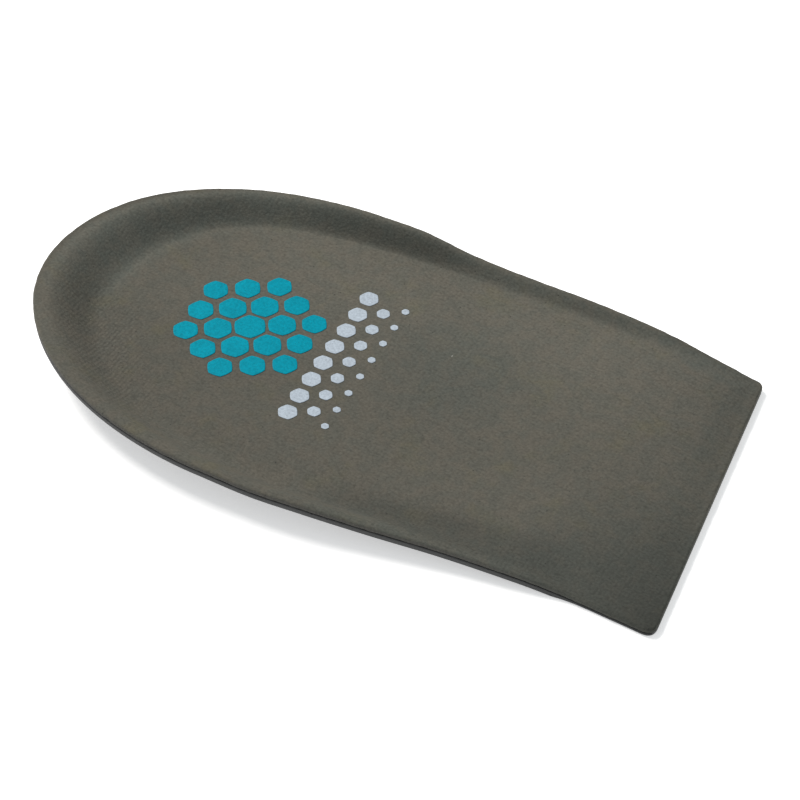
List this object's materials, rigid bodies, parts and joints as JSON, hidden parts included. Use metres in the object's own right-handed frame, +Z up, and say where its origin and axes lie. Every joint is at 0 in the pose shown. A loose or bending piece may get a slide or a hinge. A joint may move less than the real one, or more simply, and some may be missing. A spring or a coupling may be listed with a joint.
{
  "type": "heel cup insole",
  "caption": "Half-length shoe insole with a cupped heel: a moulded foam base under a thin brushed fabric cover.",
  "frame": {"origin": "middle of the bounding box in plan, on the plane of the flat underside", "axes": "+X from the heel to the front cut, +Y to the outer (little toe) side of a left foot, +Z up, out of the cup"},
  "size_m": [0.1346, 0.0724, 0.011],
  "materials": {
    "moulded_foam": "matt moulded closed-cell foam",
    "brushed_fabric": null
  },
  "bodies": {
    "root": {"foam_base": "moulded_foam", "top_cover": "brushed_fabric"}
  },
  "joints": []
}
